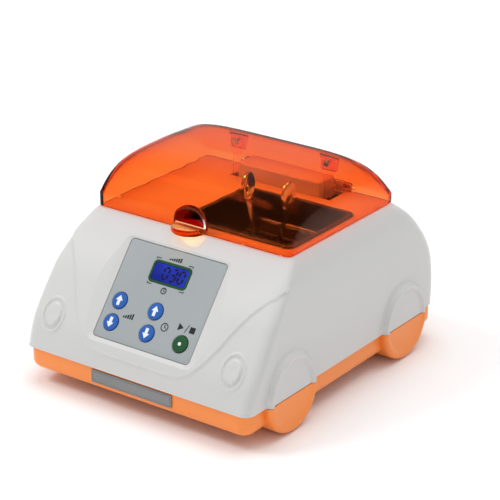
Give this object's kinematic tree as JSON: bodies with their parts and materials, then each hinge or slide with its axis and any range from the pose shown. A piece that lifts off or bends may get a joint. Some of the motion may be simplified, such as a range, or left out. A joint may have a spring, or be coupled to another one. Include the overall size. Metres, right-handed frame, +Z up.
{
  "type": "dental capsule mixer",
  "caption": "Bench-top capsule mixer in the shape of a small car: hinged clear lid over a shaking fork in a black chamber, sloping keypad with display, motor inside.",
  "frame": {"origin": "centre of the bounding box's footprint, on the bench the rubber feet stand on", "axes": "+Z up, -Y towards the user and the keypad, +X to the user's right"},
  "size_m": [0.204, 0.2366, 0.1568],
  "materials": {
    "shell_white": "moulded ABS, light gloss with a fine skin",
    "base_orange": "moulded ABS, satin gloss",
    "lid_orange": "transparent tinted acrylic, polished",
    "tray_black": "glossy black ABS",
    "panel_grey": "satin printed overlay",
    "button_blue": "satin rubbery cap",
    "button_green": "satin",
    "display_blue": "clear window over a blue-lit display",
    "board_green": "solder-masked laminate",
    "rubber": "matt black rubber",
    "steel": "machined steel",
    "polished_steel": "polished spring steel",
    "cast_metal": "die-cast, blasted",
    "zinc_steel": "zinc-plated sheet",
    "transformer_core": "varnished laminations",
    "nylon_white": "moulded nylon",
    "black_plastic": "fine-textured moulding"
  },
  "bodies": {
    "root": {"upper_shell": "shell_white", "base_shell": "base_orange", "chamber_tray": "tray_black", "slot_seal": "rubber", "control_panel": "panel_grey", "display_bezel": "button_green", "display_window": "display_blue", "display_module": "black_plastic", "control_board": "board_green", "name_plate": "panel_grey", "hinge_pin_left": "steel", "hinge_pin_right": "steel", "interlock_switch": "black_plastic", "motor_body": "cast_metal", "motor_end_cap": "cast_metal", "bearing_bracket": "cast_metal", "shaft_bearing": "steel", "restraint_spring": "steel", "motor_plate": "zinc_steel", "transformer": "transformer_core", "power_board": "board_green", "rear_plate": "black_plastic", "mains_inlet": "black_plastic", "fuse_holder": "black_plastic", "switch_housing": "black_plastic", "rear_screw_1": "steel", "rear_screw_2": "steel", "rubber_foot_1": "rubber", "rubber_damper_1": "rubber", "case_screw_1": "steel", "rubber_foot_2": "rubber", "rubber_damper_2": "rubber", "case_screw_2": "steel", "rubber_foot_3": "rubber", "rubber_damper_3": "rubber", "case_screw_3": "steel", "rubber_foot_4": "rubber", "rubber_damper_4": "rubber", "case_screw_4": "steel"},
    "lid": {"lid_shell": "lid_orange", "lid_tongue_left": "lid_orange", "lid_tongue_right": "lid_orange", "tongue_screw_left": "steel", "tongue_screw_right": "steel"},
    "motor_rotor": {"motor_shaft": "steel", "cooling_fan": "black_plastic", "skew_hub": "steel"},
    "fork": {"fork_rocker": "nylon_white", "fork_prong_left": "polished_steel", "fork_prong_right": "polished_steel", "prong_screw_left": "steel", "prong_screw_right": "steel"},
    "speed_up_key": {"speed_up_button": "button_blue"},
    "speed_down_key": {"speed_down_button": "button_blue"},
    "timer_up_key": {"timer_up_button": "button_blue"},
    "timer_down_key": {"timer_down_button": "button_blue"},
    "start_stop_key": {"start_stop_button": "button_green"},
    "power_switch_rocker": {"power_rocker": "black_plastic"}
  },
  "joints": [
    {"name": "lid_hinge", "type": "hinge", "parent": "root", "child": "lid", "pos_m": [0, 0.0773, 0.119], "axis": [-1, 0, 0], "range_deg": [0, 80]},
    {"name": "motor_spin", "type": "hinge", "parent": "root", "child": "motor_rotor", "pos_m": [0, 0.0012, 0.06], "axis": [1, 0, 0], "continuous": true},
    {"name": "fork_swing", "type": "hinge", "parent": "root", "child": "fork", "pos_m": [0.028, 0.0012, 0.06], "axis": [0, 1, 0], "range_deg": [-6, 6], "stiffness_Nm_per_rad": 0.6},
    {"name": "speed_up_press", "type": "slide", "parent": "root", "child": "speed_up_key", "axis": [0, 0.7782, -0.628], "range_m": [0, 0.001], "stiffness_N_per_m": 400, "springref_m": -0.0005},
    {"name": "speed_down_press", "type": "slide", "parent": "root", "child": "speed_down_key", "axis": [0, 0.7782, -0.628], "range_m": [0, 0.001], "stiffness_N_per_m": 400, "springref_m": -0.0005},
    {"name": "timer_up_press", "type": "slide", "parent": "root", "child": "timer_up_key", "axis": [0, 0.7782, -0.628], "range_m": [0, 0.001], "stiffness_N_per_m": 400, "springref_m": -0.0005},
    {"name": "timer_down_press", "type": "slide", "parent": "root", "child": "timer_down_key", "axis": [0, 0.7782, -0.628], "range_m": [0, 0.001], "stiffness_N_per_m": 400, "springref_m": -0.0005},
    {"name": "start_stop_press", "type": "slide", "parent": "root", "child": "start_stop_key", "axis": [0, 0.7782, -0.628], "range_m": [0, 0.001], "stiffness_N_per_m": 400, "springref_m": -0.0005},
    {"name": "power_rocker_tilt", "type": "hinge", "parent": "root", "child": "power_switch_rocker", "pos_m": [-0.05, 0.1135, 0.051], "axis": [1, 0, 0], "range_deg": [0, 16]}
  ]
}
